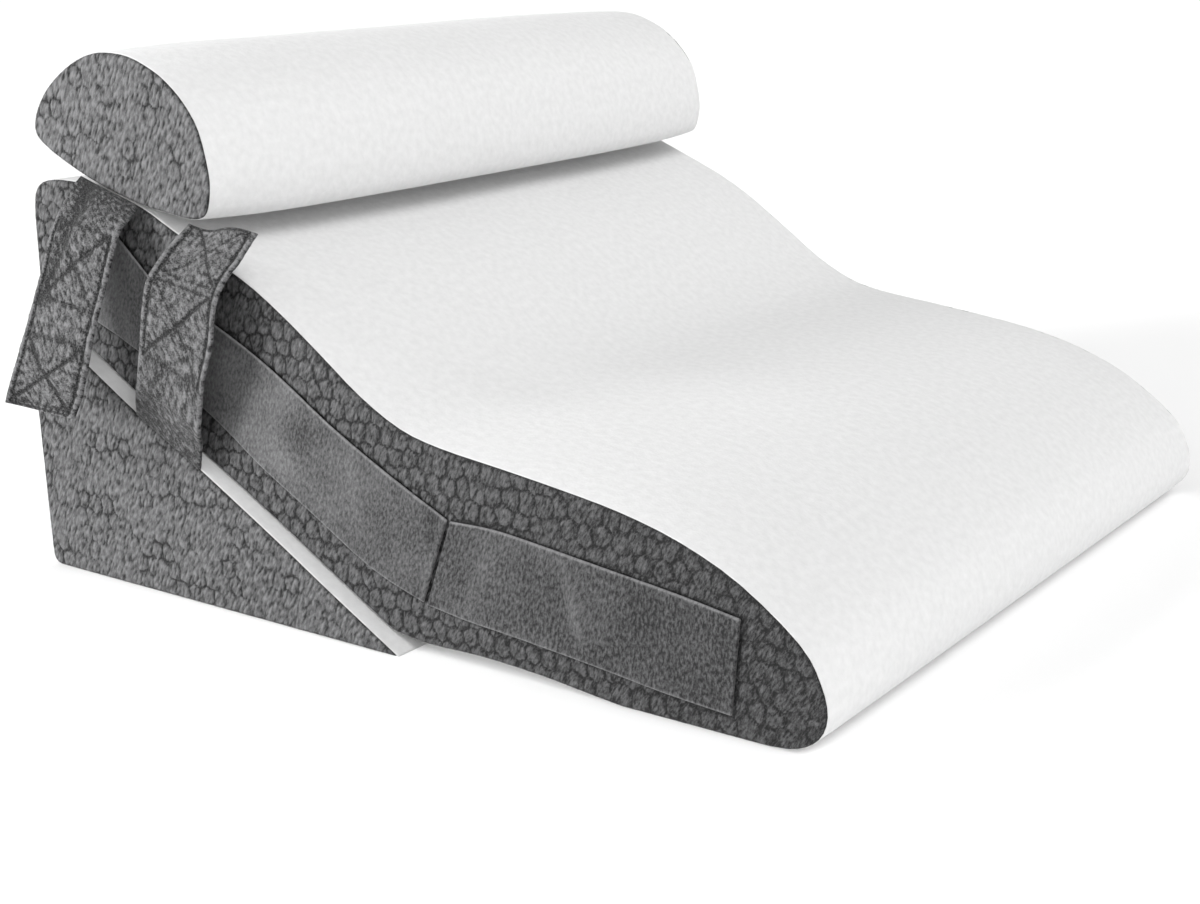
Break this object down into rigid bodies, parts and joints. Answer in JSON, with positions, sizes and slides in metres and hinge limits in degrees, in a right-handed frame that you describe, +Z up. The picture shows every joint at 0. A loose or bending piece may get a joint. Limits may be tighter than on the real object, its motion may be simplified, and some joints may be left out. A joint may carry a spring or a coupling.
{
  "type": "wedge pillow",
  "caption": "Foam wedge pillow set: a triangular wedge under an S-shaped cushion that reaches the floor, with a half-moon bolster on its crest and sewn side straps.",
  "frame": {"origin": "on the floor, in the middle of the wedge's flat underside", "axes": "+X from the head end to the foot end, +Y across the width, away from the side with both straps raised, +Z up"},
  "size_m": [0.665, 0.7611, 0.385],
  "materials": {
    "white_knit": "matte fine knit with faint bubbles",
    "grey_bubble_knit": "matte air-layer knit with raised cells",
    "grey_loop_tape": "matte brushed loop tape",
    "grey_strap_knit": "matte doubled knit, puckered along its sewing"
  },
  "bodies": {
    "root": {"wedge_cushion": "white_knit", "contour_cushion": "white_knit", "bolster_cushion": "white_knit", "wedge_side_near": "grey_bubble_knit", "wedge_side_far": "grey_bubble_knit", "contour_side_near": "grey_bubble_knit", "contour_side_far": "grey_bubble_knit", "bolster_end_near": "grey_bubble_knit", "bolster_end_far": "grey_bubble_knit", "head_loop_strip_near": "grey_loop_tape", "head_loop_strip_far": "grey_loop_tape", "foot_loop_strip_near": "grey_loop_tape", "foot_loop_strip_far": "grey_loop_tape", "bolster_strap_near": "grey_strap_knit", "bolster_strap_far": "grey_strap_knit", "wedge_strap_near": "grey_strap_knit", "wedge_strap_far": "grey_strap_knit"}
  },
  "joints": []
}
